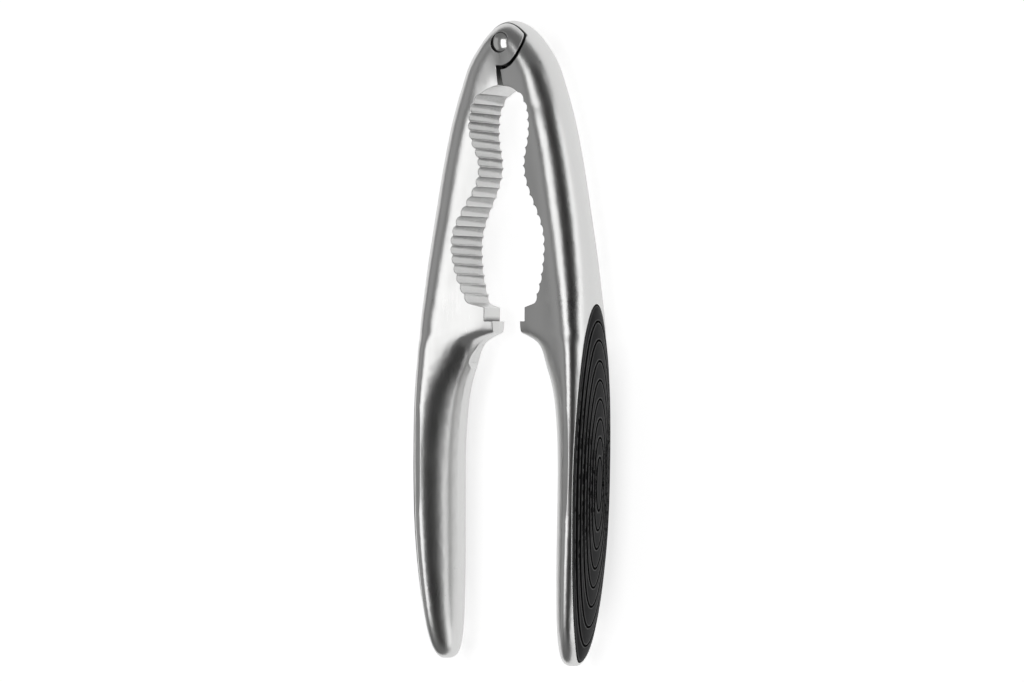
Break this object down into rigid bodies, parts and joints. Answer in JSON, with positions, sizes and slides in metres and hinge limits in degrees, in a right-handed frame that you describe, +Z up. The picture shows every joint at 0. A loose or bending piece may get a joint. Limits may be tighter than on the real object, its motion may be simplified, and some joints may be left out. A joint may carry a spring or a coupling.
{
  "type": "nutcracker",
  "caption": "Lever nutcracker: mirrored cast arms on a pivot, with toothed jaws for walnuts and hazelnuts and rubber inlays in the handles.",
  "frame": {"origin": "centre of the bounding box's bottom, on the surface the nutcracker lies on", "axes": "+Y along it towards the pivot, +X across it towards the right arm, +Z up through its thickness"},
  "size_m": [0.056, 0.1696, 0.0188],
  "materials": {
    "cast_arm": "satin",
    "pin_steel": "polished",
    "washer_plastic": "matt",
    "grip_rubber": "satin"
  },
  "bodies": {
    "left_lever": {"left_arm": "cast_arm", "pivot_pin": "pin_steel", "front_washer": "washer_plastic", "rear_washer": "washer_plastic", "left_grip_pad": "grip_rubber"},
    "right_lever": {"right_arm": "cast_arm", "right_grip_pad": "grip_rubber"}
  },
  "joints": [
    {"name": "jaw_pivot", "type": "hinge", "parent": "left_lever", "child": "right_lever", "pos_m": [0, 0.0786, 0.00938], "axis": [0, 0, 1], "range_deg": [-6.1, 45]}
  ]
}
